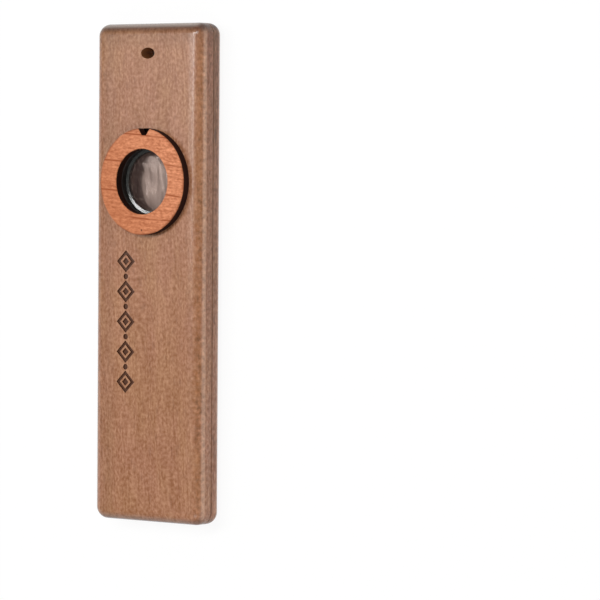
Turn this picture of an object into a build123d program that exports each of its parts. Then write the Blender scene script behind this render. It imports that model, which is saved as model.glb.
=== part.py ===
from build123d import *
import os
from math import radians, tan

# Flat wooden kazoo, lying on its back. X runs across the body, +Y towards the end with the oval
# vent, and +Z out of the front face. The origin is the middle of the back face. Millimetres.

# Body: a front board and a back board, glued face to face
BODY_LENGTH = 122.0
BODY_WIDTH = 33.5
FRONT_BOARD_THICKNESS = 4.7
BACK_BOARD_THICKNESS = 4.2
EDGE_ROUND = 2.8  # roundover on the outer edges of both boards
CORNER_EASE = 0.2  # how much larger the outline's corner radius is than the roundover
SEAM_BREAK = 0.2  # chamfer on both boards that draws the seam line round the sides

# Air channel: routed in both boards, but only in the back board at its outlet, and open at both ends
CHANNEL_WIDTH = 18.0
CHANNEL_FLOOR = 1.5  # wood left behind the channel
OUTLET_LENGTH = 14.0  # low stretch at the vent's end
MOUTH_FLARE = 0.6  # depth of the bevel round the two mouths
MOUTH_FLARE_ANGLE = 45.0

# Oval vent through the front board
VENT_LENGTH = 4.2  # across the body
VENT_WIDTH = 2.7
VENT_FROM_END = 7.3  # end of the body to the middle of the vent

# Membrane cap: a flat ring with a spigot glued under it, pushed into a socket
CAP_FROM_END = 38.6  # end of the body to the middle of the cap
CAP_BORE = 16.0
CAP_THICKNESS = 2.2
CAP_FLANGE = 3.0  # how far the ring lies over the front face, past the socket's wall
CAP_EDGE_BREAK = 0.15
SPIGOT_WALL = 1.95
SPIGOT_HEIGHT = 1.7
SPIGOT_LEAD = 0.3  # chamfer that leads the spigot into its socket
SPIGOT_RIM_BREAK = 0.2  # chamfer inside its top, a fine line under the ring
SPIGOT_CLEARANCE = 0.05  # on the radius

# Pry notch in the ring, and the pocket under it for the tip of a pick
CAP_TURN = 2.6  # degrees clockwise that the ring is pushed in out of line
NOTCH_MOUTH = 3.7
NOTCH_ROOT = 1.25
NOTCH_DEPTH = 1.7
NOTCH_ROOT_ROUND = 0.5
PRY_WIDTH = 4.6
PRY_REACH = 0.7  # how far the pocket runs in under the ring, past the notch
PRY_DEPTH = 1.0

# Membrane: a thin film bonded under a stiff hoop, held between the spigot and a ledge
HOOP_THICKNESS = 0.5
HOOP_SHOW = 0.7  # how far the hoop stands in past the cap's bore
HOOP_LIP_DROP = 0.15  # how far the inner lip falls below the hoop's top
HOOP_EDGE_ROUND = 0.3  # outer edge
MEMBRANE_CLEARANCE = 0.2  # on the radius, hoop to socket
FILM_THICKNESS = 0.1
LEDGE_THICKNESS = 0.7  # wood left between the channel and the film

# Engraved chain of lozenges and dots along the front face
MOTIF_FROM_END = 73.0  # end of the body to the middle of the chain
MOTIF_FROM_EDGE = 10.25  # side of the body to the chain's centre line
LOZENGE_COUNT = 5
LOZENGE_PITCH = 7.4
LOZENGE_LENGTH = 5.5  # along the body
LOZENGE_WIDTH = 5.6
LOZENGE_LINE = 1.1  # width of the engraved line, measured across the body
LOZENGE_CORE = 2.0  # width of the solid lozenge in the middle
DOT_DIAMETER = 1.4
ENGRAVING_DEPTH = 0.3

OVERRUN = 1.0  # how far every cutting tool runs past the face that it leaves

# Heights and radii that follow from the sizes above
SEAM_Z = BACK_BOARD_THICKNESS
FACE_Z = SEAM_Z + FRONT_BOARD_THICKNESS
CORNER_RADIUS = EDGE_ROUND + CORNER_EASE
HOOP_Z = FACE_Z - SPIGOT_HEIGHT - HOOP_THICKNESS
FILM_Z = HOOP_Z - FILM_THICKNESS  # also the top of the ledge
ROOF_Z = FILM_Z - LEDGE_THICKNESS
CHANNEL_MIDDLE_Z = (ROOF_Z + CHANNEL_FLOOR) / 2
CAP_BORE_RADIUS = CAP_BORE / 2
SPIGOT_RADIUS = CAP_BORE_RADIUS + SPIGOT_WALL
SOCKET_RADIUS = SPIGOT_RADIUS + SPIGOT_CLEARANCE
CAP_RADIUS = SOCKET_RADIUS + CAP_FLANGE
HOOP_RADIUS = SOCKET_RADIUS - MEMBRANE_CLEARANCE
PORT_RADIUS = CAP_BORE_RADIUS - HOOP_SHOW  # inside of the hoop and of the ledge
CAP_Y = BODY_LENGTH / 2 - CAP_FROM_END
VENT_Y = BODY_LENGTH / 2 - VENT_FROM_END
MOTIF_X = MOTIF_FROM_EDGE - BODY_WIDTH / 2
MOTIF_Y = BODY_LENGTH / 2 - MOTIF_FROM_END


def on_cap_axis(z):
    """The plane across the cap's axis at height z."""
    return Plane(origin=(0, CAP_Y, z))


def disc(radius, bottom, top):
    """A round disc about the cap's axis, between two heights."""
    return extrude(on_cap_axis(bottom) * Circle(radius), top - bottom)


def ring(outer_radius, inner_radius, bottom, top):
    """A flat ring about the cap's axis, between two heights."""
    section = Circle(outer_radius) - Circle(inner_radius)
    return extrude(on_cap_axis(bottom) * section, top - bottom)


def board(bottom, top, outer_z, seam_z):
    """A plain board with its outer edges rounded over and its seam edges broken."""
    outline = RectangleRounded(BODY_WIDTH, BODY_LENGTH, CORNER_RADIUS)
    blank = extrude(Plane.XY.offset(bottom) * outline, top - bottom)
    outer_face = blank.faces().filter_by(Axis.Z).sort_by_distance((0, 0, outer_z))[0]
    blank = fillet(outer_face.outer_wire().edges(), EDGE_ROUND)
    seam_face = blank.faces().filter_by(Axis.Z).sort_by_distance((0, 0, seam_z))[0]
    return chamfer(seam_face.outer_wire().edges(), SEAM_BREAK)


def channel_stretch(side, length, roof_z):
    """A stretch of the channel in from the +Y end (side 1) or the -Y end (side -1), with its flared mouth."""
    height = roof_z - CHANNEL_FLOOR
    middle = (0, side * (BODY_LENGTH / 2 + OVERRUN), CHANNEL_FLOOR + height / 2)
    start = Plane(origin=middle, x_dir=(1, 0, 0), z_dir=(0, -side, 0))
    run = MOUTH_FLARE + OVERRUN
    spread = 2 * run * tan(radians(MOUTH_FLARE_ANGLE))
    mouth = Rectangle(CHANNEL_WIDTH + spread, height + spread)
    stretch = extrude(start * Rectangle(CHANNEL_WIDTH, height), length + OVERRUN)
    return stretch + extrude(start * mouth, run, taper=MOUTH_FLARE_ANGLE)


def air_channel():
    """The channel from end to end: full height from the mouthpiece, then a low outlet under the vent."""
    outlet = channel_stretch(1, OUTLET_LENGTH, SEAM_Z)
    return outlet + channel_stretch(-1, BODY_LENGTH - OUTLET_LENGTH, ROOF_Z)


def membrane_seat():
    """The socket for spigot and hoop, the port under it, and the pry pocket beside it."""
    socket = disc(SOCKET_RADIUS, FILM_Z, FACE_Z + OVERRUN)
    port = disc(PORT_RADIUS, CHANNEL_MIDDLE_Z, FILM_Z + OVERRUN)
    inner = CAP_RADIUS - NOTCH_DEPTH - PRY_REACH
    slot_length = CAP_RADIUS - inner
    slot = Pos(0, CAP_Y + inner + slot_length / 2, FACE_Z) * Box(PRY_WIDTH, slot_length, 2 * PRY_DEPTH)
    pocket = slot & disc(CAP_RADIUS, FACE_Z - PRY_DEPTH, FACE_Z + OVERRUN)
    return socket + port + pocket


def oval_vent():
    """The oval hole from the front face into the channel."""
    start = Plane(origin=(0, VENT_Y, CHANNEL_MIDDLE_Z))
    return extrude(start * Ellipse(VENT_LENGTH / 2, VENT_WIDTH / 2), FACE_Z + OVERRUN - CHANNEL_MIDDLE_Z)


def lozenge(width):
    """A lozenge of a given width across the body, in the proportions of the chain's links."""
    x = width / 2
    y = x * LOZENGE_LENGTH / LOZENGE_WIDTH
    return make_face(Polyline((x, 0), (0, y), (-x, 0), (0, -y), close=True))


def engraved_chain():
    """Lozenges with solid middles in a row along the body, and a dot between each two."""
    frame = lozenge(LOZENGE_WIDTH) - lozenge(LOZENGE_WIDTH - 2 * LOZENGE_LINE)
    core = lozenge(LOZENGE_CORE)
    dot = Circle(DOT_DIAMETER / 2)
    floor = Plane(origin=(MOTIF_X, MOTIF_Y, FACE_Z - ENGRAVING_DEPTH))
    start = -(LOZENGE_COUNT - 1) / 2 * LOZENGE_PITCH
    places = [start + i * LOZENGE_PITCH for i in range(LOZENGE_COUNT)]
    shapes = [Pos(0, y) * shape for y in places for shape in (frame, core)]
    shapes += [Pos(0, y + LOZENGE_PITCH / 2) * dot for y in places[:-1]]
    return [extrude(floor * shape, ENGRAVING_DEPTH + OVERRUN) for shape in shapes]


def front_board():
    """The front board: half of the channel, the membrane's seat, the vent and the engraving."""
    wood = board(SEAM_Z, FACE_Z, FACE_Z, SEAM_Z) - air_channel() - membrane_seat() - oval_vent()
    return wood - engraved_chain()


def back_board():
    """The back board: the deeper half of the channel."""
    return board(0, SEAM_Z, 0, SEAM_Z) - air_channel()


def cap_ring():
    """The flat ring on the front face, with its pry notch."""
    blank = ring(CAP_RADIUS, CAP_BORE_RADIUS, FACE_Z, FACE_Z + CAP_THICKNESS)
    flare_share = (NOTCH_MOUTH - NOTCH_ROOT) / 2 / NOTCH_DEPTH
    outside = NOTCH_MOUTH / 2 + flare_share * OVERRUN
    corners = [
        (-NOTCH_ROOT / 2, CAP_RADIUS - NOTCH_DEPTH),
        (NOTCH_ROOT / 2, CAP_RADIUS - NOTCH_DEPTH),
        (outside, CAP_RADIUS + OVERRUN),
        (-outside, CAP_RADIUS + OVERRUN),
    ]
    notch = make_face(Polyline(*corners, close=True))
    notch = fillet(notch.vertices().sort_by(Axis.Y)[:2], NOTCH_ROOT_ROUND)
    notch = Rot(0, 0, -CAP_TURN) * notch
    blank -= extrude(on_cap_axis(FACE_Z - OVERRUN) * notch, CAP_THICKNESS + 2 * OVERRUN)
    return chamfer(blank.faces().sort_by(Axis.Z)[-1].edges(), CAP_EDGE_BREAK)


def cap_spigot():
    """The narrower ring glued under the cap, which the socket holds."""
    blank = ring(SPIGOT_RADIUS, CAP_BORE_RADIUS, FACE_Z - SPIGOT_HEIGHT, FACE_Z)
    blank = chamfer(blank.faces().sort_by(Axis.Z)[0].outer_wire().edges(), SPIGOT_LEAD)
    return chamfer(blank.faces().sort_by(Axis.Z)[-1].inner_wires().edges(), SPIGOT_RIM_BREAK)


def membrane_hoop():
    """The stiff hoop that keeps the film round, with a lip that slopes in towards the film."""
    blank = ring(HOOP_RADIUS, PORT_RADIUS, HOOP_Z, HOOP_Z + HOOP_THICKNESS)
    blank = fillet(blank.faces().sort_by(Axis.Z)[-1].outer_wire().edges(), HOOP_EDGE_ROUND)
    top = blank.faces().sort_by(Axis.Z)[-1]
    return chamfer(top.inner_wires().edges(), HOOP_SHOW, HOOP_LIP_DROP, reference=top)


def membrane_film():
    """The film that buzzes, as a flat disc."""
    return disc(HOOP_RADIUS, FILM_Z, HOOP_Z)


PIECES = (front_board, back_board, cap_ring, cap_spigot, membrane_hoop, membrane_film)


def main():
    os.makedirs("parts", exist_ok=True)
    for piece in PIECES:
        export_step(piece(), os.path.join("parts", piece.__name__ + ".step"))


main()
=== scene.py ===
import math
from collections import namedtuple

import bmesh
import bpy
from bpy.props import FloatProperty, FloatVectorProperty, IntProperty, PointerProperty
from mathutils import Matrix, Vector, noise


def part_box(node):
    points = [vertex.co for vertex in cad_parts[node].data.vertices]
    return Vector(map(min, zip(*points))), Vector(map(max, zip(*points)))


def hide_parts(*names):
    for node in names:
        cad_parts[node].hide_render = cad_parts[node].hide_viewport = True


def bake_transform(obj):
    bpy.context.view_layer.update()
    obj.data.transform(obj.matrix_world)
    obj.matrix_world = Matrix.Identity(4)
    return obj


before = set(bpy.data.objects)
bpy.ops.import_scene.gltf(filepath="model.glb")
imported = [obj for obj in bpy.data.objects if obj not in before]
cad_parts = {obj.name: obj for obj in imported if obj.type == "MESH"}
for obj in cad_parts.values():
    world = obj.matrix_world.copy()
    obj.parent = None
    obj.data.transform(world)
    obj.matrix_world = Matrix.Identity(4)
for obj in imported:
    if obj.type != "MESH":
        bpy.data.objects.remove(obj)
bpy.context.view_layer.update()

bl_info = {
    "name": "Flat Wooden Kazoo",
    "version": (1, 0, 0),
    "blender": (4, 5, 0),
    "location": "View3D > Sidebar > Kazoo",
    "description": "Finishes a flat wooden kazoo: boards, ring cap, membrane and a studio stage",
    "category": "Object",
}

MM = 0.001
WHITE = (1, 1, 1, 1)

# Places read from the frame
BODY_LOW, BODY_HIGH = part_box("back_board")[0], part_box("front_board")[1]
BODY_MIDDLE = (BODY_LOW + BODY_HIGH) / 2
SEAM_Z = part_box("front_board")[0].z
FACE_Z = BODY_HIGH.z
CAP_LOW, CAP_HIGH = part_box("cap_ring")
CAP_RADIUS = (CAP_HIGH.x - CAP_LOW.x) / 2
CAP_AXIS = Vector(((CAP_HIGH.x + CAP_LOW.x) / 2, CAP_LOW.y + CAP_RADIUS, 0))
FILM_LOW, FILM_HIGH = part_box("membrane_film")
FILM_RADIUS = (FILM_HIGH.x - FILM_LOW.x) / 2
FILM_Z = (FILM_LOW.z + FILM_HIGH.z) / 2

# Fibres of the two boards: width and length in millimetres, noise detail and weight. Real ones are about
# 0.2 mm wide, and are drawn as coarse as they need to show
FRONT_FIBRES = ((0.6, 0.9, 1.5, 2.15), (0.5, 7.0, 1.0, 1.05), (7.0, 60.0, 1.0, 0.6))
BACK_FIBRES = ((0.62, 1.3, 1.5, 2.3), (0.6, 7.0, 1.0, 1.4), (7.0, 60.0, 1.0, 0.8))

# Pores of the two boards: width and length in millimetres, and how dark they are on the faces
FRONT_PORES = (0.8, 3.2, 0.2)
BACK_PORES = (0.75, 5.5, 0.5)

# The film's ridge, from the cap's axis in millimetres, from the vent's end down, and how far from the middle
# it may come, as a share of the way to the rim
RIDGE = ((0.4, 7.3), (-3.0, 4.6), (-2.0, 2.4), (-1.7, -0.8), (-1.7, -7.3))
RIDGE_LIMIT = 0.6

# Sharp creases of the film: start and end from the cap's axis, height as a share of the crinkles, and
# width, in millimetres
CREASES = (
    ((2.0, 4.6), (3.3, -4.2), 1.6, 0.5),
    ((-2.0, -2.4), (0.6, -6.6), 1.8, 0.5),
    ((-4.2, 3.0), (-3.2, -3.6), 0.8, 0.4),
    ((-0.2, 4.4), (0.4, -1.6), 0.7, 0.4),
    ((4.4, 2.6), (4.9, -2.6), 0.9, 0.4),
    ((0.4, 7.0), (-3.0, 4.6), 0.8, 0.3),
)

# Soft folds and small facets of the film: size across and along the body in millimetres, and height as a
# share of the crinkles
FOLDS = (3.5, 9.0, 0.5)
FACETS = (1.5, 2.6, 0.75)

# Slice of the noise that the folds are taken from
FOLD_SLICE = 4.7

# Bends in the edges of the facets: size in millimetres, and reach as a share of a facet
FACET_BENDS = (4.0, 0.6)

# Lamps: name, direction from the body, width and height in metres, and brightness of the lit surface
LAMPS = (
    ("key", (-0.113, 0.28, 0.953), (1.12, 0.264), 10.8),
    ("side", (-0.64, 0.15, 0.75), (0.30, 0.36), 0.9),
    ("low", (0.35, -0.50, 0.79), (0.50, 0.50), 2.4),
)

# An upright box round cut faces of a board, the colour of those faces, and how much of it they take on
Cut = namedtuple("Cut", "middle half_size top bottom colour amount")


def linear(hex_colour):
    """An sRGB hex colour as linear red, green and blue."""
    shares = [int(hex_colour[i:i + 2], 16) / 255 for i in (1, 3, 5)]
    return tuple(c / 12.92 if c <= 0.04045 else ((c + 0.055) / 1.055) ** 2.4 for c in shares)


def rgba(tint):
    """A colour property as the four values that a node's socket takes."""
    return (*tint, 1.0)


def colour(hex_colour, name, description):
    """A colour property whose default is an sRGB hex value."""
    return FloatVectorProperty(
        name=name, description=description, subtype="COLOR", min=0, max=1, default=linear(hex_colour)
    )


def length(mm, name, description):
    """A length property in metres, with its default given in millimetres."""
    return FloatProperty(name=name, description=description, unit="LENGTH", default=mm * MM, precision=5)


def lengths(mm, name, description):
    """Several lengths in metres, with their defaults given in millimetres."""
    values = [v * MM for v in mm]
    return FloatVectorProperty(
        name=name, description=description, unit="LENGTH", size=len(values), default=values, precision=5
    )


def angle(degrees, name, description):
    """An angle property with its default given in degrees."""
    return FloatProperty(name=name, description=description, subtype="ANGLE", default=math.radians(degrees))


def share(value, name, description):
    """A property that holds a share, from 0 to 1."""
    return FloatProperty(name=name, description=description, subtype="FACTOR", min=0, max=1, default=value)


class KazooBoards(bpy.types.PropertyGroup):
    """Oiled hardwood of the two boards, and what is cut into them"""

    light: colour("#af8266", "Light wood", "Palest fibres of the boards")
    dark: colour("#885838", "Dark wood", "Darkest fibres of the boards")
    red: colour("#fff9fb", "Red ribbons", "Redder stretches of the boards, as a filter")
    gold: colour("#fffdf3", "Golden ribbons", "Golden stretches of the boards, as a filter")
    pore: colour("#5f3c29", "Pores", "Open pores of the boards")
    # Painted light: the edge tint lifts and warms the rounded long edges, and the pale line after it is a
    # painted sheen
    edge: colour("#976542", "Edge tint", "Golden wood of the rounded long edges")
    painted_sheen_line: colour("#caa38b", "Rubbed line", "Pale line where a rounded edge runs out into the side")
    # Painted sheen: a pale line on the upper edge of the vent's end
    painted_sheen_end: colour("#b9aca2", "Worn end", "Pale line where the rounded edge of the vent's end runs out")
    end: colour("#97887c", "End tint", "End grain, which soaks up more oil, as a filter")
    # Painted shade: filters that darken the flat sides of each board towards the vent's end
    front_side_shade: colour("#e2d4d1", "Front side", "Flat sides of the front board, as a filter")
    back_side_shade: colour("#cdc5c1", "Back side", "Flat sides of the back board, as a filter")
    raw: colour("#c3ada2", "Raw wood", "Inside of the air channel, which has no oil")
    burnt: colour("#4a2813", "Burnt engraving", "Floor and walls of the engraving")
    # Painted light: the vent's wall is paler than the wood, standing for light that bounces inside the vent
    vent: colour("#94633f", "Vent wall", "Wall of the oval vent")
    sooty: colour("#1d0f08", "Charred seat", "Hidden cuts under the cap")
    seam: colour("#84634f", "Seam", "Glue line between the boards")
    front_slant: angle(-4, "Front slant", "Turn of the front board's grain from the body's length")
    back_slant: angle(12, "Back slant", "Turn of the back board's grain from the body's length")
    # Painted light: shares by which the flat sides are paler at the mouthpiece
    front_pale: share(0.13, "Front paleness", "How much paler the front board's sides are at the mouthpiece")
    back_pale: share(0.05, "Back paleness", "How much paler the back board's sides are at the mouthpiece")
    sway: length(4.0, "Grain sway", "How far the fibres sway to and fro along the boards")
    fall: length(0.13, "Sanded fall", "How far the faces fall away towards the rounded edges")
    fall_start: length(4.5, "Fall start", "Where the faces begin to fall away, from the side of the body")
    fall_end: length(0.5, "Fall end", "Where the faces end their fall, from the side of the body")
    seam_reach: length(0.55, "Seam reach", "How far the glue line darkens the wood beside it")
    # The wood darkens near the vent's end, and painted shade darkens one long side
    dark_end_reach: length(7.5, "Soaked end", "How far from the vent's end the oil has darkened the wood")
    shaded_side_reach: length(8.0, "Held side", "How far from the side that hands hold the wood is darker")
    engraving_middle: lengths((-6.5, -12.0), "Engraving middle", "Middle of the engraved chain on the face")
    engraving_size: lengths((6.4, 36.5), "Engraving size", "Width and length of the engraved chain")
    engraving_depth: length(1.0, "Engraving depth", "Depth of the area inside the engraved chain")
    seat_depth: length(0.6, "Seat depth", "How far below the film the charred cuts reach")
    channel_half: length(9.05, "Channel half width", "Half width of the area inside the air channel")
    channel_floor: length(1.45, "Channel floor", "Height of the area inside the air channel over the back")
    channel_margin: length(0.05, "Channel margin", "How far that area keeps behind the end faces")
    vent_y: length(53.7, "Vent place", "Distance of the oval vent from the middle of the body")
    vent_reach: length(2.6, "Vent reach", "Half width of the area round the vent")


class KazooCap(bpy.types.PropertyGroup):
    """Laser-cut ring and its black spigot"""

    wood: colour("#e3986f", "Ring wood", "Top veneer of the ring")
    grain: colour("#8f451f", "Ring grain", "Dark grain lines of the ring's veneer")
    # Painted shade: the ring's veneer darkens towards one side
    fade: colour("#cd835a", "Ring shade", "Darker side of the ring's veneer")
    scorch: colour("#7c3f20", "Scorched rim", "Top of the ring beside a cut edge")
    char: colour("#2c130a", "Charred edge", "Edges that the laser cut")
    black: colour("#15110f", "Black plastic", "Spigot under the ring")
    rings: lengths((11.2, 4.6, -2.7, -8.8), "Growth lines", "Places of the growth lines from the cap's axis")
    ring_width: length(0.4, "Growth line width", "Width of a growth line")
    ring_wander: length(0.8, "Growth line wander", "How far the growth lines wander to and fro")
    scorch_width: length(0.6, "Scorch width", "Width of the scorched rim")
    grain_turn: angle(-3.8, "Grain turn", "Turn of the veneer's grain from square across the body")
    knot: lengths((0.1, -11.85), "Pin knot", "Place of a small dark knot, from the cap's axis")
    knot_radius: length(0.3, "Knot size", "Radius of the small dark knot")


class KazooMembrane(bpy.types.PropertyGroup):
    """Clear hoop and crinkled film"""

    hoop: colour("#9aa099", "Hoop", "Hazy plastic of the hoop")
    film: colour("#433634", "Film", "Clear part of the film")
    # Painted light: a round pool of light on the film, whitened in streaks by creasing
    lit_patch: colour("#cbb2a6", "Cloud", "Part of the film that creasing has whitened")
    gloss: colour("#ffe6da", "Film gloss", "Tint of what the film mirrors")
    # Place and edge of the film's painted pool of light; its edge is the bore rim's painted shadow
    lit_patch_middle: lengths((5.3, -0.5), "Cloud middle", "Middle of the whitened part, from the cap's axis")
    lit_patch_radius: length(8.2, "Cloud radius", "Radius of the whitened part")
    lit_patch_blur: length(0.6, "Cloud blur", "Width over which the whitened part fades out")
    lit_patch_ragged: length(1.2, "Cloud raggedness", "How far the edge of the whitened part strays")
    film_thickness: length(0.03, "Film thickness", "Thickness of the film")
    lean: angle(8, "Lean", "How far the loose hoop seems to lean under the cap")
    lean_turn: angle(-10, "Lean turn", "Direction in which the hoop seems to lean, from across the body")
    hoop_bore: length(7.3, "Hoop bore", "Radius inside which the film hangs free")
    bulge: length(0.7, "Bulge", "How far the film's ridge stands over its rim")
    crinkle: length(0.08, "Crinkle height", "Height of the film's crinkles")
    segments: IntProperty(
        name="Segments", description="Grid cells across the film", min=8, max=200, default=120
    )
    seed: IntProperty(name="Seed", description="Choice of the small random crinkles", min=1, default=5)


class KazooStage(bpy.types.PropertyGroup):
    """Floor, light and camera"""

    floor: colour("#f4f4f4", "Floor", "Floor and surroundings")
    floor_size: length(4000, "Floor size", "Side of the square floor")
    white_share: share(0.92, "White share", "How much of the floor seen by the camera is plain white")
    sky: share(0.36, "Sky", "Strength of the even light from all round")
    ceiling: share(0.3, "Ceiling", "Brightness of what gloss mirrors from overhead")
    lamp_distance: length(1100, "Lamp distance", "From the middle of the body to each lamp")
    yaw: angle(-38.585, "Yaw", "Turn of the view about the body's length")
    pitch: angle(1.766, "Pitch", "Tilt of the view about the body's width")
    roll: angle(-0.335, "Roll", "Turn of the picture")
    distance: length(890.8, "Distance", "Camera to the middle of the body")
    picture_scale: FloatProperty(
        name="Picture scale", description="Pixels per millimetre at the body", default=4.0739
    )
    picture_size: FloatProperty(
        name="Picture size", description="Side of the square picture in pixels", default=600
    )
    picture_place: FloatVectorProperty(
        name="Picture place",
        description="Pixel where the middle of the body is shown",
        size=2,
        default=(157.92, 272.97),
    )


def add(tree, kind, inputs=None, **settings):
    """Adds a node with its settings, and sets each input or links it to a socket or a node's result.

    Inputs go by name or number. A Map Range has its value at 0, its old range at 1 and 2 and its new one at
    3 and 4, and a Mix of colours has its factor at 0 and the colours at 6 and 7."""
    made = tree.nodes.new("ShaderNode" + kind)
    for name, value in settings.items():
        setattr(made, name, value)
    for socket, value in (inputs or {}).items():
        if isinstance(value, bpy.types.Node):
            value = next(output for output in value.outputs if output.enabled)
        if isinstance(value, bpy.types.NodeSocket):
            tree.links.new(value, made.inputs[socket])
        else:
            made.inputs[socket].default_value = value
    return made


def new_material(name):
    """An empty node material and its tree."""
    material = bpy.data.materials.new(name)
    material.use_nodes = True
    material.node_tree.nodes.clear()
    return material, material.node_tree


def per_mm(*sizes):
    """Scale of a pattern whose features have these sizes, in millimetres, along X, Y and Z."""
    return tuple(1 / (size * MM) for size in sizes)


def dress(node, material):
    """Gives a node of the frame its finish."""
    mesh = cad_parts[node].data
    mesh.materials.clear()
    mesh.materials.append(material)


def cut_mask(tree, position, cut):
    """1 inside the box of a cut and 0 outside, from the Object coordinates."""
    edge = 0.02 * MM
    parts = add(tree, "SeparateXYZ", {0: position}).outputs
    inside = add(tree, "MapRange", {0: parts["Z"], 1: cut.top, 2: cut.top - edge})
    above = add(tree, "MapRange", {0: parts["Z"], 1: cut.bottom - edge, 2: cut.bottom})
    inside = add(tree, "Math", {0: inside, 1: above}, operation="MULTIPLY")
    for axis, centre, half in zip("XY", cut.middle, cut.half_size):
        off = add(tree, "Math", {0: parts[axis], 1: centre}, operation="SUBTRACT")
        away = add(tree, "Math", {0: off}, operation="ABSOLUTE")
        near = add(tree, "MapRange", {0: away, 1: half + edge, 2: half})
        inside = add(tree, "Math", {0: inside, 1: near}, operation="MULTIPLY")
    return inside


def sapele_fibres(tree, look, turned, fibres):
    """Interlocked grain: coordinates that sway to and fro along the board, and the tone of its fibres."""
    swaying = add(tree, "Mapping", {"Vector": turned, "Scale": per_mm(6.25, 29.4, 6.25)})
    sway = add(tree, "TexNoise", {"Vector": swaying, "Scale": 1.0, "Detail": 1.0}).outputs["Color"]
    grain = add(tree, "VectorMath", {0: sway, 1: (look.sway, 0, 0), 2: turned}, operation="MULTIPLY_ADD")
    tone = 0.5 - 0.5 * sum(weight for _, _, _, weight in fibres)
    for width, run, detail, weight in fibres:
        stretched = add(tree, "Mapping", {"Vector": grain, "Scale": per_mm(width, run, width)})
        fibre = {"Vector": stretched, "Scale": 1.0, "Detail": detail, "Roughness": 0.6}
        fibre = add(tree, "TexNoise", fibre)
        tone = add(tree, "Math", {0: fibre, 1: weight, 2: tone}, operation="MULTIPLY_ADD")
    return grain, tone


def flecks_and_painted_shade(tree, look, shade, turned, place, across, flat):
    """Brightness of the wood, from that of its sides: flecked edges, darker wood towards the vent's end, and
    painted shade along one long side.
    """
    # Edges and sides cut the fibres aslant and show coarse flecks, about a millimetre long
    amount = add(tree, "MapRange", {0: across, 1: 0.2, 2: 0.6, 4: 1.4})
    calm = add(tree, "MapRange", {0: flat, 3: 1.0, 4: 0.55})
    amount = add(tree, "Math", {0: amount, 1: calm}, operation="MULTIPLY")
    shifted = {"Vector": turned, "Scale": per_mm(1.0, 1.0, 1.0), "Location": (6, 1, 8)}
    shifted = add(tree, "Mapping", shifted)
    flecks = add(tree, "TexNoise", {"Vector": shifted, "Scale": 1.0, "Detail": 2.0, "Roughness": 0.6})
    flecks = add(tree, "Math", {0: flecks, 1: 0.5}, operation="SUBTRACT")
    shade = add(tree, "Math", {0: flecks, 1: amount, 2: shade}, operation="MULTIPLY_ADD")

    # The wood is darker near the vent's end, and painted shade darkens the long side at low X
    for axis, start, end, darkened in (
        ("Y", BODY_HIGH.y - look.dark_end_reach, BODY_HIGH.y - look.dark_end_reach / 3, 0.84),
        ("X", BODY_LOW.x + look.shaded_side_reach, BODY_LOW.x + 0.6 * look.shaded_side_reach, 0.89),
    ):
        reach = {0: place[axis], 1: start, 2: end, 3: 1.0, 4: darkened}
        reach = add(tree, "MapRange", reach, interpolation_type="SMOOTHSTEP")
        shade = add(tree, "Math", {0: shade, 1: reach}, operation="MULTIPLY")
    return shade


def end_grain_and_sheen(tree, look, wood, normal, across):
    """Wood with darker end grain, and a painted sheen: a pale line on the upper edge of the vent's end,
    between its corners.
    """
    end = add(tree, "MapRange", {0: normal["Y"], 1: 0.02, 2: 0.7}, interpolation_type="SMOOTHSTEP")
    mouth = {0: normal["Y"], 1: -0.3, 2: -0.95, 4: 0.7}
    mouth = add(tree, "MapRange", mouth, interpolation_type="SMOOTHSTEP")
    end = add(tree, "Math", {0: end, 1: mouth}, operation="MAXIMUM")
    wood = add(tree, "Mix", {0: end, 6: wood, 7: rgba(look.end)}, data_type="RGBA", blend_type="MULTIPLY")
    painted_sheen_end = add(tree, "MapRange", {0: normal["Y"], 1: 0.58, 2: 0.85, 4: 0.48})
    rest = add(tree, "MapRange", {0: normal["Y"], 1: 0.999, 2: 0.95})
    upper = add(tree, "MapRange", {0: normal["Z"], 1: 0.0, 2: 0.3})
    between = add(tree, "MapRange", {0: across, 1: 0.5, 2: 0.2})
    for limit in (rest, upper, between):
        painted_sheen_end = add(tree, "Math", {0: painted_sheen_end, 1: limit}, operation="MULTIPLY")
    return add(tree, "Mix", {0: painted_sheen_end, 6: wood, 7: rgba(look.painted_sheen_end)}, data_type="RGBA")


def glue_line(tree, look, wood, height, toward_vent):
    """Wood that the glue has darkened beside the seam, most at the vent's end."""
    seam = add(tree, "Math", {0: height, 1: SEAM_Z}, operation="SUBTRACT")
    seam = add(tree, "Math", {0: seam}, operation="ABSOLUTE")
    seam = add(tree, "MapRange", {0: seam, 1: look.seam_reach, 2: 0.5 * look.seam_reach, 4: 0.65})
    glue = add(tree, "MapRange", {0: toward_vent, 3: 0.3, 4: 1.0})
    seam = add(tree, "Math", {0: seam, 1: glue}, operation="MULTIPLY")
    return add(tree, "Mix", {0: seam, 6: wood, 7: rgba(look.seam)}, data_type="RGBA")


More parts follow.
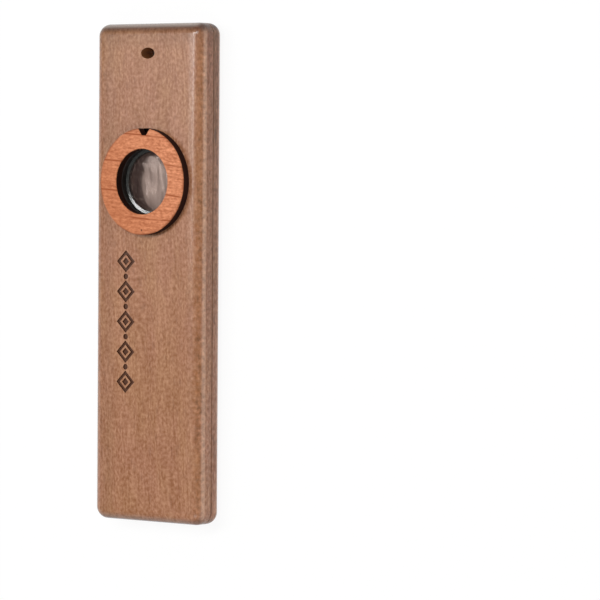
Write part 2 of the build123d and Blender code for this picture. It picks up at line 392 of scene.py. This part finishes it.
def oiled_sapele(name, look, slant, fibres, pore, side, pale, cuts):
    """Oiled sapele, sanded smooth: fine short fibres, open pores, faint ribbons and a satin sheen.

    slant is the turn of the grain from the body's length, and fibres and pore come from the tables above.
    side is a filter of painted shade on the flat sides at the vent's end, and pale the share by which
    painted light makes them lighter at the mouthpiece."""
    material, tree = new_material(name)
    position = add(tree, "TexCoord").outputs["Object"]
    place = add(tree, "SeparateXYZ", {0: position}).outputs
    normal = add(tree, "SeparateXYZ", {0: add(tree, "NewGeometry").outputs["Normal"]}).outputs
    across = add(tree, "Math", {0: normal["X"]}, operation="ABSOLUTE")
    level = add(tree, "Math", {0: normal["Z"]}, operation="ABSOLUTE")
    turned = add(tree, "Mapping", {"Vector": position, "Rotation": (0, 0, slant)})

    # Fibres in two browns, in ribbons of redder and more golden wood. Each pattern is shifted by steps of
    # its own, so that none repeats another
    grain, tone = sapele_fibres(tree, look, turned, fibres)
    wood = add(tree, "Mix", {0: tone, 6: rgba(look.dark), 7: rgba(look.light)}, data_type="RGBA")
    stretched = {"Vector": grain, "Scale": per_mm(5.88, 16.7, 5.88), "Location": (9, 4, 2)}
    stretched = add(tree, "Mapping", stretched)
    ribbons = add(tree, "TexNoise", {"Vector": stretched, "Scale": 1.0, "Detail": 2.0})
    ribbons = add(tree, "MapRange", {0: ribbons, 1: 0.36, 2: 0.64})
    hue = add(tree, "Mix", {0: ribbons, 6: rgba(look.red), 7: rgba(look.gold)}, data_type="RGBA")
    wood = add(tree, "Mix", {0: 1.0, 6: wood, 7: hue}, data_type="RGBA", blend_type="MULTIPLY")
    width, run, open_share = pore
    stretched = {"Vector": grain, "Scale": per_mm(width, run, width), "Location": (3, 5, 7)}
    stretched = add(tree, "Mapping", stretched)
    pores = add(tree, "TexNoise", {"Vector": stretched, "Scale": 1.0, "Detail": 1.0})

    # Rounded long edges have more pores cut open. Their warmer, lighter tint is painted light that makes up
    # for the light and sheen falling on them, and the pale line where they run out into the side is a
    # painted sheen
    edge = add(tree, "MapRange", {0: across, 1: 0.34, 2: 0.5}, interpolation_type="SMOOTHSTEP")
    fall = add(tree, "MapRange", {0: across, 1: 0.88, 2: 0.72}, interpolation_type="SMOOTHSTEP")
    edge = add(tree, "Math", {0: edge, 1: fall}, operation="MULTIPLY")
    deep = add(tree, "MapRange", {0: edge, 3: open_share, 4: min(1.0, open_share + 0.3)})
    pores = add(tree, "MapRange", {0: pores, 1: 0.6, 2: 0.72, 4: deep})
    wood = add(tree, "Mix", {0: pores, 6: wood, 7: rgba(look.pore)}, data_type="RGBA")
    golden = add(tree, "Math", {0: edge, 1: 0.4}, operation="MULTIPLY")
    wood = add(tree, "Mix", {0: golden, 6: wood, 7: rgba(look.edge)}, data_type="RGBA")
    line = add(tree, "MapRange", {0: level, 1: 0.12, 2: 0.28}, interpolation_type="SMOOTHSTEP")
    rest = add(tree, "MapRange", {0: level, 1: 0.65, 2: 0.45}, interpolation_type="SMOOTHSTEP")
    along = add(tree, "MapRange", {0: across, 1: 0.6, 2: 0.85, 4: 0.55})
    for limit in (rest, along):
        line = add(tree, "Math", {0: line, 1: limit}, operation="MULTIPLY")
    wood = add(tree, "Mix", {0: line, 6: wood, 7: rgba(look.painted_sheen_line)}, data_type="RGBA")

    # Painted shade darkens the flat sides from the mouthpiece to the vent's end, and painted light makes
    # them paler at the mouthpiece
    flat = add(tree, "MapRange", {0: across, 1: 0.93, 2: 0.99}, interpolation_type="SMOOTHSTEP")
    toward_vent = add(tree, "MapRange", {0: place["Y"], 1: BODY_LOW.y, 2: BODY_HIGH.y})
    filtered = add(tree, "Math", {0: flat, 1: toward_vent}, operation="MULTIPLY")
    wood = add(tree, "Mix", {0: filtered, 6: wood, 7: rgba(side)}, data_type="RGBA", blend_type="MULTIPLY")
    paler = add(tree, "Math", {0: flat, 1: filtered}, operation="SUBTRACT")
    paler = add(tree, "Math", {0: paler, 1: pale, 2: 1.0}, operation="MULTIPLY_ADD")
    shade = flecks_and_painted_shade(tree, look, paler, turned, place, across, flat)
    wood = add(tree, "Mix", {0: 1.0, 6: wood, 7: shade}, data_type="RGBA", blend_type="MULTIPLY")
    wood = end_grain_and_sheen(tree, look, wood, normal, across)
    wood = glue_line(tree, look, wood, place["Z"], toward_vent)
    for cut in cuts:
        mask = cut_mask(tree, position, cut)
        mask = add(tree, "Math", {0: mask, 1: cut.amount}, operation="MULTIPLY")
        wood = add(tree, "Mix", {0: mask, 6: wood, 7: rgba(cut.colour)}, data_type="RGBA")

    # Fibres and pores stand in low relief, and sanding lets the faces fall away before the rounded edges
    relief = add(tree, "Math", {0: tone, 1: pores}, operation="SUBTRACT")
    bump = add(tree, "Bump", {"Strength": 0.015, "Distance": 0.03 * MM, "Height": relief})
    aside = add(tree, "Math", {0: place["X"]}, operation="ABSOLUTE")
    fallen = {0: aside, 1: BODY_HIGH.x - look.fall_start, 2: BODY_HIGH.x - look.fall_end, 4: -look.fall}
    fallen = add(tree, "MapRange", fallen, interpolation_type="SMOOTHSTEP")
    bump = add(tree, "Bump", {"Strength": 1.0, "Distance": 1.0, "Height": fallen, "Normal": bump})
    gloss = add(tree, "MapRange", {0: tone, 1: 0.3, 2: 0.7, 3: 0.24, 4: 0.21})
    shader = {"Base Color": wood, "Roughness": gloss, "Normal": bump, "IOR": 1.5}
    shader = add(tree, "BsdfPrincipled", shader)
    add(tree, "OutputMaterial", {"Surface": shader})
    return material


def charred_veneer(look):
    """Laser-cut veneer: orange wood with thin dark growth lines across it, and cut edges that the laser
    has burnt black-brown."""
    material, tree = new_material("laser_cut_veneer")
    position = add(tree, "TexCoord").outputs["Object"]
    centred = add(tree, "VectorMath", {0: position, 1: CAP_AXIS}, operation="SUBTRACT")
    turned = add(tree, "Mapping", {"Vector": centred, "Rotation": (0, 0, -look.grain_turn)})
    wander = add(tree, "TexNoise", {"Vector": turned, "Scale": 1 / (11.1 * MM), "Detail": 1.0})
    wander = {0: wander.outputs["Color"], 1: (0, look.ring_wander, 0), 2: turned}
    grain = add(tree, "VectorMath", wander, operation="MULTIPLY_ADD")

    # Growth lines: distance from the nearest one, broken where the veneer's fibres are paler
    across = add(tree, "SeparateXYZ", {0: grain}).outputs["Y"]
    near = CAP_RADIUS
    for place in look.rings:
        off = add(tree, "Math", {0: across, 1: place + look.ring_wander / 2}, operation="SUBTRACT")
        off = add(tree, "Math", {0: off}, operation="ABSOLUTE")
        near = add(tree, "Math", {0: off, 1: near}, operation="MINIMUM")
    line = add(tree, "MapRange", {0: near, 1: look.ring_width, 2: 0.2 * look.ring_width})
    stretched = add(tree, "Mapping", {"Vector": grain, "Scale": per_mm(5.56, 2.0, 2.0)})
    broken = add(tree, "TexNoise", {"Vector": stretched, "Scale": 1.0, "Detail": 1.0})
    broken = add(tree, "MapRange", {0: broken, 1: 0.28, 2: 0.46, 4: 0.95})
    line = add(tree, "Math", {0: line, 1: broken}, operation="MULTIPLY")

    # Long and short fibres between the lines
    stretched = add(tree, "Mapping", {"Vector": grain, "Scale": per_mm(6.67, 0.588, 0.588)})
    fibre = add(tree, "TexNoise", {"Vector": stretched, "Scale": 1.0, "Detail": 1.0, "Roughness": 0.6})
    stretched = add(tree, "Mapping", {"Vector": grain, "Scale": per_mm(1.053, 0.526, 0.526)})
    fleck = add(tree, "TexNoise", {"Vector": stretched, "Scale": 1.0, "Detail": 1.5, "Roughness": 0.6})
    fibre = add(tree, "Math", {0: fibre, 1: 0.6, 2: fleck}, operation="MULTIPLY_ADD")
    tone = add(tree, "MapRange", {0: fibre, 1: 0.47, 2: 1.13, 4: 0.85})
    tone = add(tree, "Math", {0: tone, 1: line}, operation="MAXIMUM")

    # Painted shade darkens the veneer towards one side, in place of the sheen and light that fall on the
    # other, and it has one small knot
    aslant = add(tree, "VectorMath", {0: centred, 1: (0.87, 0.5, 0)}, operation="DOT_PRODUCT")
    aslant = {0: aslant.outputs["Value"], 1: -0.8 * CAP_RADIUS, 2: 0.8 * CAP_RADIUS}
    aslant = add(tree, "MapRange", aslant)
    wood = add(tree, "Mix", {0: aslant, 6: rgba(look.fade), 7: rgba(look.wood)}, data_type="RGBA")
    wood = add(tree, "Mix", {0: tone, 6: wood, 7: rgba(look.grain)}, data_type="RGBA")
    spot = add(tree, "VectorMath", {0: centred, 1: (*look.knot, CAP_HIGH.z)}, operation="DISTANCE")
    spot = {0: spot.outputs["Value"], 1: look.knot_radius, 2: 0.5 * look.knot_radius, 4: 0.8}
    spot = add(tree, "MapRange", spot)
    wood = add(tree, "Mix", {0: spot, 6: wood, 7: rgba(look.char)}, data_type="RGBA")

    # The laser burns the upright faces, and scorches the top beside them here and there
    away = add(tree, "VectorMath", {0: centred, 1: (1, 1, 0)}, operation="MULTIPLY")
    away = add(tree, "VectorMath", {0: away}, operation="LENGTH").outputs["Value"]
    rim = add(tree, "MapRange", {0: away, 1: CAP_RADIUS - look.scorch_width, 2: CAP_RADIUS})
    patch = add(tree, "TexNoise", {"Vector": centred, "Scale": 1 / (4 * MM), "Detail": 1.0})
    patch = add(tree, "MapRange", {0: patch, 1: 0.35, 2: 0.65})
    rim = add(tree, "Math", {0: rim, 1: patch}, operation="MULTIPLY")
    wood = add(tree, "Mix", {0: rim, 6: wood, 7: rgba(look.scorch)}, data_type="RGBA")
    normal = add(tree, "SeparateXYZ", {0: add(tree, "NewGeometry").outputs["Normal"]}).outputs
    level = add(tree, "Math", {0: normal["Z"]}, operation="ABSOLUTE")
    burnt = add(tree, "MapRange", {0: level, 1: 0.6, 2: 0.3})
    wood = add(tree, "Mix", {0: burnt, 6: wood, 7: rgba(look.char)}, data_type="RGBA")
    bump = add(tree, "Bump", {"Strength": 0.2, "Distance": 0.03 * MM, "Height": fibre})
    gloss = add(tree, "MapRange", {0: burnt, 3: 0.5, 4: 0.9})
    shader = {"Base Color": wood, "Roughness": gloss, "Normal": bump, "IOR": 1.45, "Specular IOR Level": 0.2}
    shader = add(tree, "BsdfPrincipled", shader)
    add(tree, "OutputMaterial", {"Surface": shader})
    return material


def black_plastic(look):
    """Turned black acetal: a deep black with a satin gloss and fine tool rings round the bore."""
    material, tree = new_material("turned_black_acetal")
    position = add(tree, "TexCoord").outputs["Object"]
    stretched = add(tree, "Mapping", {"Vector": position, "Scale": per_mm(10.0, 10.0, 0.111)})
    rings = add(tree, "TexNoise", {"Vector": stretched, "Scale": 1.0, "Detail": 1.0})
    bump = add(tree, "Bump", {"Strength": 0.3, "Distance": 0.01 * MM, "Height": rings})
    shader = {"Base Color": rgba(look.black), "Roughness": 0.35, "Normal": bump, "IOR": 1.48}
    shader = add(tree, "BsdfPrincipled", shader)
    add(tree, "OutputMaterial", {"Surface": shader})
    return material


def clear_plastic(look):
    """Hazy moulded polypropylene: dark where it is see-through, and white where the hoop's sloping lip
    mirrors a lamp."""
    material, tree = new_material("moulded_hazy_polypropylene")
    position = add(tree, "TexCoord").outputs["Object"]
    slope = -math.tan(look.lean) * Vector((math.cos(look.lean_turn), math.sin(look.lean_turn), 0))
    lean = add(tree, "VectorMath", {0: position, 1: slope}, operation="DOT_PRODUCT")
    bump = add(tree, "Bump", {"Strength": 1.0, "Distance": 1.0, "Height": lean.outputs["Value"]})
    shader = add(tree, "BsdfPrincipled", {
        "Base Color": rgba(look.hoop), "Roughness": 0.2, "Normal": bump, "IOR": 1.7,
        "Transmission Weight": 0.93,
    })
    add(tree, "OutputMaterial", {"Surface": shader})
    return material


def thin_film(look):
    """Blown polyethylene film, crinkled by hand: dark and see-through left of its ridge. Right of it is a
    round patch of painted light, lit through the cap's bore, with the bore rim's painted shadow as its
    ragged edge; creasing has whitened it in streaks, and painted shade dims it towards the vent. It has a
    rosy gloss."""
    material, tree = new_material("crinkled_polyethylene_film")
    position = add(tree, "TexCoord").outputs["Object"]
    centred = add(tree, "VectorMath", {0: position, 1: CAP_AXIS}, operation="SUBTRACT")
    flat = add(tree, "VectorMath", {0: centred, 1: (1, 1, 0)}, operation="MULTIPLY")
    # Painted light: a round patch lit through the cap's bore, ragged at the rim's painted shadow, in streaks
    # of creased film
    ragged = add(tree, "TexNoise", {"Vector": flat, "Scale": 1 / (1.43 * MM), "Detail": 2.0})
    ragged = {0: ragged.outputs["Color"], 1: (look.lit_patch_ragged, 0, 0), 2: flat}
    ragged = add(tree, "VectorMath", ragged, operation="MULTIPLY_ADD")
    middle = (look.lit_patch_middle[0] + look.lit_patch_ragged / 2, look.lit_patch_middle[1], 0)
    away = add(tree, "VectorMath", {0: ragged, 1: middle}, operation="DISTANCE").outputs["Value"]
    blur = look.lit_patch_blur / 2
    lit_patch_mask = {0: away, 1: look.lit_patch_radius + blur, 2: look.lit_patch_radius - blur}
    lit_patch_mask = add(tree, "MapRange", lit_patch_mask, interpolation_type="SMOOTHSTEP")
    stretched = add(tree, "Mapping", {"Vector": flat, "Scale": per_mm(0.909, 3.85, 3.85)})
    streaks = add(tree, "TexNoise", {"Vector": stretched, "Scale": 1.0, "Detail": 3.0})
    streaks = add(tree, "MapRange", {0: streaks, 1: 0.3, 2: 0.7, 3: 0.3, 4: 1.0})
    # Painted shade dims the patch towards the vent
    along = add(tree, "SeparateXYZ", {0: flat}).outputs["Y"]
    painted_shade_to_vent = {0: along, 1: -look.hoop_bore, 2: 0.8 * look.hoop_bore, 3: 1.0, 4: 0.45}
    painted_shade_to_vent = add(tree, "MapRange", painted_shade_to_vent)
    for limit in (streaks, painted_shade_to_vent):
        lit_patch_mask = add(tree, "Math", {0: lit_patch_mask, 1: limit}, operation="MULTIPLY")
    flecks = add(tree, "TexNoise", {"Vector": flat, "Scale": 1 / (0.667 * MM), "Detail": 1.0})
    flecks = add(tree, "MapRange", {0: flecks, 1: 0.56, 2: 0.68, 4: 0.35})
    lit_patch_mask = add(tree, "Math", {0: lit_patch_mask, 1: flecks}, operation="MAXIMUM")
    haze_and_painted_light = add(tree, "Mix", {0: lit_patch_mask, 6: rgba(look.film), 7: rgba(look.lit_patch)}, data_type="RGBA")
    shader = add(tree, "BsdfPrincipled", {
        "Base Color": haze_and_painted_light, "Roughness": 0.17, "IOR": 1.5, "Alpha": 0.3,
        "Specular IOR Level": 0.7, "Specular Tint": rgba(look.gloss),
    })
    add(tree, "OutputMaterial", {"Surface": shader})
    return material


class KAZOO_OT_boards(bpy.types.Operator):
    """Finish both boards in oiled sapele"""

    bl_idname = "kazoo.boards"
    bl_label = "Finish Boards"

    def execute(self, context):
        look = context.scene.kazoo_boards
        channel = Cut(
            middle=(0, 0), half_size=(look.channel_half, BODY_HIGH.y - look.channel_margin),
            top=FILM_LOW.z, bottom=look.channel_floor, colour=look.raw, amount=0.8,
        )
        seat = Cut(
            middle=CAP_AXIS.xy, half_size=(CAP_RADIUS, CAP_RADIUS),
            top=FACE_Z, bottom=FILM_LOW.z - look.seat_depth, colour=look.sooty, amount=1.0,
        )
        chain = Cut(
            middle=look.engraving_middle, half_size=Vector(look.engraving_size) / 2,
            top=FACE_Z, bottom=FACE_Z - look.engraving_depth, colour=look.burnt, amount=1.0,
        )
        # The vent's wall takes a paler colour, as painted light
        vent = Cut(
            middle=(0, look.vent_y), half_size=(look.vent_reach, look.vent_reach),
            top=FACE_Z, bottom=SEAM_Z, colour=look.vent, amount=1.0,
        )
        front = oiled_sapele(
            "oiled_sapele_front", look, slant=look.front_slant, fibres=FRONT_FIBRES, pore=FRONT_PORES,
            side=look.front_side_shade, pale=look.front_pale, cuts=(channel, seat, chain, vent),
        )
        back = oiled_sapele(
            "oiled_sapele_back", look, slant=look.back_slant, fibres=BACK_FIBRES, pore=BACK_PORES,
            side=look.back_side_shade, pale=look.back_pale, cuts=(channel,),
        )
        dress("front_board", front)
        dress("back_board", back)
        return {"FINISHED"}


class KAZOO_OT_cap(bpy.types.Operator):
    """Finish the laser-cut ring and the spigot under it"""

    bl_idname = "kazoo.cap"
    bl_label = "Finish Cap"

    def execute(self, context):
        look = context.scene.kazoo_cap
        dress("cap_ring", charred_veneer(look))
        dress("cap_spigot", black_plastic(look))
        return {"FINISHED"}


class KAZOO_OT_membrane(bpy.types.Operator):
    """Finish the hoop and make the crinkled film"""

    bl_idname = "kazoo.membrane"
    bl_label = "Make Membrane"

    def execute(self, context):
        look = context.scene.kazoo_membrane
        dress("membrane_hoop", clear_plastic(look))
        middle = Vector((CAP_AXIS.x, CAP_AXIS.y, FILM_Z))

        # A fixed seed gives the same crinkles each time
        noise.seed_set(look.seed)
        mesh = bpy.data.meshes.new("film")
        shape = bmesh.new()
        bmesh.ops.create_grid(shape, x_segments=look.segments, y_segments=look.segments, size=1)
        for vert in shape.verts:
            x, y = vert.co.xy
            # A square drawn in to a disc
            vert.co.x = FILM_RADIUS * x * math.sqrt(1 - y * y / 2)
            vert.co.y = FILM_RADIUS * y * math.sqrt(1 - x * x / 2)
            vert.co.z = self.height(look, vert.co)
        bmesh.ops.solidify(shape, geom=shape.faces[:], thickness=look.film_thickness)
        bmesh.ops.translate(shape, verts=shape.verts, vec=middle)
        bmesh.ops.recalc_face_normals(shape, faces=shape.faces)
        for face in shape.faces:
            face.smooth = True
        shape.to_mesh(mesh)
        shape.free()
        film = bpy.data.objects.new("film_sheet", mesh)
        context.collection.objects.link(film)
        mesh.materials.append(thin_film(look))
        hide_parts("membrane_film")
        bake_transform(film)
        return {"FINISHED"}

    @staticmethod
    def height(look, place):
        """Height of the film over its rim's plane: a low tent with crinkles that run along the body."""
        reach = math.sqrt(max(0.0, look.hoop_bore ** 2 - place.y ** 2))
        if abs(place.x) >= reach:
            return 0.0
        free = 1 - (place.xy.length / look.hoop_bore) ** 2
        for above, below in zip(RIDGE, RIDGE[1:]):
            if place.y / MM >= below[1]:
                break
        down = (above[1] - place.y / MM) / (above[1] - below[1])
        ridge = (above[0] + down * (below[0] - above[0])) * MM
        ridge = max(-RIDGE_LIMIT * reach, min(RIDGE_LIMIT * reach, ridge))
        if place.x < ridge:
            tent = (place.x + reach) / (ridge + reach)
        else:
            tent = (reach - place.x) / (reach - ridge)
        tent *= 1 - (place.y / look.hoop_bore) ** 6
        wide, long, weight = FOLDS
        fold = noise.noise(Vector((place.x / (wide * MM), place.y / (long * MM), FOLD_SLICE)))
        rise = weight * (1 - 2 * abs(fold)) + KAZOO_OT_membrane.facets(place)
        for start, end, height, width in CREASES:
            line = Vector(end) - Vector(start)
            step = Vector(place.xy) / MM - Vector(start)
            along = step.dot(line) / line.length_squared
            off = abs(step.cross(line)) / line.length
            rise += height * max(0.0, 1 - (2 * along - 1) ** 2) * math.exp(-off / width)
        return look.bulge * tent + look.crinkle * min(1.0, 3 * free) * rise

    @staticmethod
    def facets(place):
        """Height of small flat facets between corners at random heights."""
        wide, long, weight = FACETS
        bend_size, bend_reach = FACET_BENDS
        bend = bend_reach * noise.noise_vector(place / (bend_size * MM))
        x = place.x / (wide * MM) + bend.x
        y = place.y / (long * MM) + bend.y
        column, row = math.floor(x), math.floor(y)
        right, up = x - column, y - row
        low_left, low_right, high_left, high_right = (
            weight * noise.cell((column + i + 0.5, row + j + 0.5, 0.5)) for j in (0, 1) for i in (0, 1)
        )
        if right + up < 1:
            return low_left + right * (low_right - low_left) + up * (high_left - low_left)
        return high_right + (1 - right) * (high_left - high_right) + (1 - up) * (low_right - high_right)


class KAZOO_OT_stage(bpy.types.Operator):
    """Set up the floor, the light and the camera"""

    bl_idname = "kazoo.stage"
    bl_label = "Set Stage"

    def execute(self, context):
        look = context.scene.kazoo_stage
        self.make_floor(context, look)
        self.make_sky(context, look)
        for name, direction, size, radiance in LAMPS:
            self.make_lamp(context, look, name, Vector(direction), size, radiance)
        self.make_camera(context, look)
        context.scene.view_settings.view_transform = "Standard"
        return {"FINISHED"}

    @staticmethod
    def seen(tree):
        """1 for rays of the camera, of gloss and of glass, and 0 for other light."""
        rays = add(tree, "LightPath").outputs
        both = add(tree, "Math", {0: rays["Is Camera Ray"], 1: rays["Is Glossy Ray"]}, operation="MAXIMUM")
        return add(tree, "Math", {0: both, 1: rays["Is Transmission Ray"]}, operation="MAXIMUM")

    def make_floor(self, context, look):
        """A white sheet under the body, which keeps its shadow."""
        mesh = bpy.data.meshes.new("floor")
        shape = bmesh.new()
        bmesh.ops.create_grid(shape, x_segments=1, y_segments=1, size=look.floor_size / 2)
        shape.to_mesh(mesh)
        shape.free()
        floor = bpy.data.objects.new("floor", mesh)
        context.collection.objects.link(floor)
        material, tree = new_material("white_paper")
        matte = add(tree, "BsdfDiffuse", {"Color": rgba(look.floor)})
        plain = add(tree, "Emission", {"Color": WHITE, "Strength": 1.0})
        amount = add(tree, "Math", {0: self.seen(tree), 1: look.white_share}, operation="MULTIPLY")
        both = add(tree, "MixShader", {0: amount, 1: matte, 2: plain})
        add(tree, "OutputMaterial", {"Surface": both})
        mesh.materials.append(material)

    def make_sky(self, context, look):
        """Even light all round. What is seen or mirrored of it is white, with a dim ceiling overhead."""
        world = bpy.data.worlds.new("studio")
        world.use_nodes = True
        tree = world.node_tree
        tree.nodes.clear()
        up = add(tree, "SeparateXYZ", {0: add(tree, "TexCoord").outputs["Generated"]}).outputs["Z"]
        room = add(tree, "MapRange", {0: up, 1: 0.25, 2: 0.55, 3: 1.0, 4: look.ceiling})
        strength = add(tree, "Mix", {0: self.seen(tree), 2: look.sky, 3: room}, data_type="FLOAT")
        sky = add(tree, "Background", {"Color": WHITE, "Strength": strength})
        add(tree, "OutputWorld", {"Surface": sky})
        context.scene.world = world

    def make_lamp(self, context, look, name, direction, size, radiance):
        """A flat lamp that faces the body, from a direction and with a brightness of its surface."""
        lamp = bpy.data.lights.new(name, "AREA")
        lamp.shape = "RECTANGLE"
        lamp.size, lamp.size_y = size
        lamp.energy = radiance * math.pi * lamp.size * lamp.size_y
        holder = bpy.data.objects.new(name, lamp)
        context.collection.objects.link(holder)
        holder.location = BODY_MIDDLE + direction.normalized() * look.lamp_distance
        holder.rotation_euler = direction.to_track_quat("Z", "Y").to_euler()

    def make_camera(self, context, look):
        """The camera of the fitted view, turned so that the body is at its place in the picture."""
        view = (
            Matrix.Rotation(look.roll, 3, "Z")
            @ Matrix.Rotation(look.pitch, 3, "X")
            @ Matrix.Rotation(look.yaw, 3, "Y")
        ).transposed()
        focus = look.picture_scale * look.distance / MM
        left = look.picture_place[0] - look.picture_size / 2
        up = look.picture_size / 2 - look.picture_place[1]
        aside = Vector((left / focus, up / focus, -1)).normalized()
        turn = aside.rotation_difference(Vector((0, 0, -1))).to_matrix()
        lens = bpy.data.cameras.new("photo_view")
        lens.sensor_width = 36
        lens.lens = focus / look.picture_size * lens.sensor_width
        lens.clip_start, lens.clip_end = 0.01, 20
        camera = bpy.data.objects.new("photo_view", lens)
        context.collection.objects.link(camera)
        place = BODY_MIDDLE + view @ Vector((0, 0, look.distance))
        camera.matrix_world = Matrix.Translation(place) @ (view @ turn).to_4x4()
        context.scene.camera = camera


class KAZOO_PT_panel(bpy.types.Panel):
    """The kazoo's steps, in order"""

    bl_label = "Kazoo"
    bl_idname = "KAZOO_PT_panel"
    bl_space_type = "VIEW_3D"
    bl_region_type = "UI"
    bl_category = "Kazoo"

    def draw(self, context):
        for operator in OPERATORS:
            self.layout.operator(operator.bl_idname)


OPERATORS = (KAZOO_OT_boards, KAZOO_OT_cap, KAZOO_OT_membrane, KAZOO_OT_stage)
GROUPS = {
    "kazoo_boards": KazooBoards,
    "kazoo_cap": KazooCap,
    "kazoo_membrane": KazooMembrane,
    "kazoo_stage": KazooStage,
}


def register():
    for cls in (*GROUPS.values(), *OPERATORS, KAZOO_PT_panel):
        bpy.utils.register_class(cls)
    for name, group in GROUPS.items():
        setattr(bpy.types.Scene, name, PointerProperty(type=group))


def unregister():
    for name in GROUPS:
        delattr(bpy.types.Scene, name)
    for cls in reversed((*GROUPS.values(), *OPERATORS, KAZOO_PT_panel)):
        bpy.utils.unregister_class(cls)


def main():
    register()
    bpy.ops.kazoo.boards()
    bpy.ops.kazoo.cap()
    bpy.ops.kazoo.membrane()
    bpy.ops.kazoo.stage()


if __name__ == "__main__":
    main()
